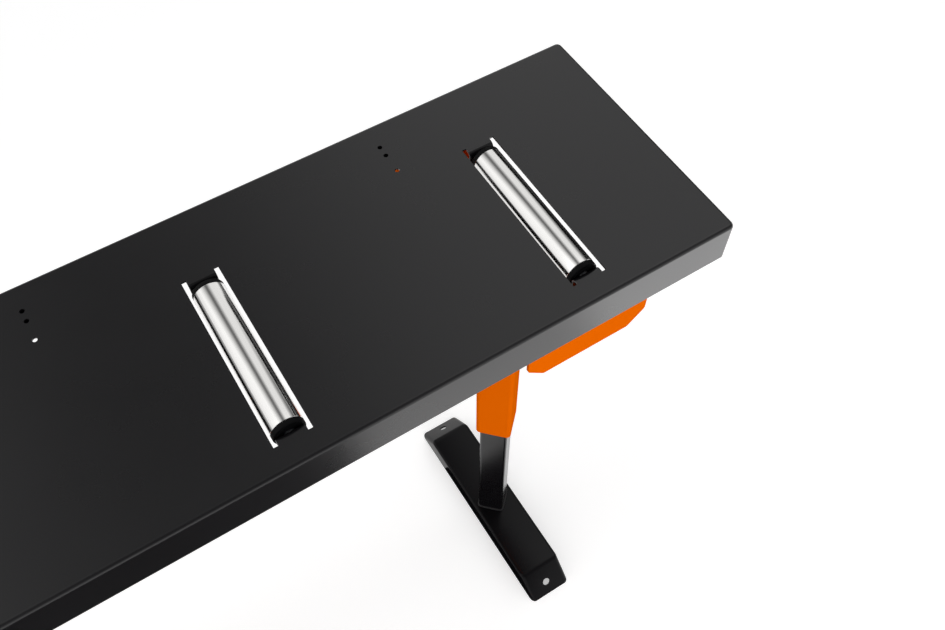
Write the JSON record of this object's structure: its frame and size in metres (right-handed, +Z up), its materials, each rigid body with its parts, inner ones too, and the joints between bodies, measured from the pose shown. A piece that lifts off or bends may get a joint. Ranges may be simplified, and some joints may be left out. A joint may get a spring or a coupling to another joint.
{
  "type": "roller table",
  "caption": "Adjustable roller table: a folded sheet top with free rollers set in slots, on telescopic square-tube legs with folded steel feet.",
  "frame": {"origin": "on the floor, under the middle of the table top", "axes": "+X along the table to its right end, +Y to its back, +Z up"},
  "size_m": [1.23, 0.354, 0.843],
  "materials": {
    "black_powder_coat": "fine satin powder coat",
    "orange_powder_coat": "satin powder coat",
    "polished_roller_steel": "polished, very fine turning lines",
    "zinc_plated_steel": "bright zinc",
    "spring_steel": "oiled black",
    "bearing_steel": "ground",
    "black_nylon": "moulded, matt",
    "knob_plastic": "moulded, fine texture"
  },
  "bodies": {
    "table": {"table_top": "black_powder_coat", "roller_1_axle": "zinc_plated_steel", "roller_1_spacers": "zinc_plated_steel", "roller_1_axle_clips": "spring_steel", "roller_2_axle": "zinc_plated_steel", "roller_2_spacers": "zinc_plated_steel", "roller_2_axle_clips": "spring_steel", "roller_3_axle": "zinc_plated_steel", "roller_3_spacers": "zinc_plated_steel", "roller_3_axle_clips": "spring_steel", "roller_4_axle": "zinc_plated_steel", "roller_4_spacers": "zinc_plated_steel", "roller_4_axle_clips": "spring_steel", "left_saddle": "orange_powder_coat", "left_saddle_studs": "zinc_plated_steel", "left_saddle_nuts": "zinc_plated_steel", "left_outer_column": "orange_powder_coat", "left_guide_collar": "black_nylon", "left_clamp_boss": "orange_powder_coat", "right_saddle": "orange_powder_coat", "right_saddle_studs": "zinc_plated_steel", "right_saddle_nuts": "zinc_plated_steel", "right_outer_column": "orange_powder_coat", "right_guide_collar": "black_nylon", "right_clamp_boss": "orange_powder_coat"},
    "roller_1": {"roller_1_tube": "polished_roller_steel", "roller_1_end_caps": "black_nylon", "roller_1_bearings": "bearing_steel"},
    "roller_2": {"roller_2_tube": "polished_roller_steel", "roller_2_end_caps": "black_nylon", "roller_2_bearings": "bearing_steel"},
    "roller_3": {"roller_3_tube": "polished_roller_steel", "roller_3_end_caps": "black_nylon", "roller_3_bearings": "bearing_steel"},
    "roller_4": {"roller_4_tube": "polished_roller_steel", "roller_4_end_caps": "black_nylon", "roller_4_bearings": "bearing_steel"},
    "left_leg": {"left_inner_leg": "black_powder_coat", "left_leg_glide": "black_nylon", "left_foot": "black_powder_coat"},
    "left_clamp": {"left_clamp_screw": "zinc_plated_steel", "left_clamp_knob": "knob_plastic"},
    "right_leg": {"right_inner_leg": "black_powder_coat", "right_leg_glide": "black_nylon", "right_foot": "black_powder_coat"},
    "right_clamp": {"right_clamp_screw": "zinc_plated_steel", "right_clamp_knob": "knob_plastic"}
  },
  "joints": [
    {"name": "roller_1_spin", "type": "hinge", "parent": "table", "child": "roller_1", "pos_m": [-0.459, -0.03, 0.827], "axis": [0, 1, 0], "continuous": true},
    {"name": "roller_2_spin", "type": "hinge", "parent": "table", "child": "roller_2", "pos_m": [-0.153, -0.03, 0.827], "axis": [0, 1, 0], "continuous": true},
    {"name": "roller_3_spin", "type": "hinge", "parent": "table", "child": "roller_3", "pos_m": [0.153, -0.03, 0.827], "axis": [0, 1, 0], "continuous": true},
    {"name": "roller_4_spin", "type": "hinge", "parent": "table", "child": "roller_4", "pos_m": [0.459, -0.03, 0.827], "axis": [0, 1, 0], "continuous": true},
    {"name": "left_leg_extension", "type": "slide", "parent": "table", "child": "left_leg", "axis": [0, 0, -1], "range_m": [-0.28, 0.02]},
    {"name": "left_clamp_turn", "type": "hinge", "parent": "table", "child": "left_clamp", "pos_m": [-0.48435, 0.03535, 0.378], "axis": [-0.7071, 0.7071, 0], "range_deg": [0, 720]},
    {"name": "right_leg_extension", "type": "slide", "parent": "table", "child": "right_leg", "axis": [0, 0, -1], "range_m": [-0.28, 0.02]},
    {"name": "right_clamp_turn", "type": "hinge", "parent": "table", "child": "right_clamp", "pos_m": [0.48435, 0.03535, 0.378], "axis": [0.7071, 0.7071, 0], "range_deg": [0, 720]}
  ]
}
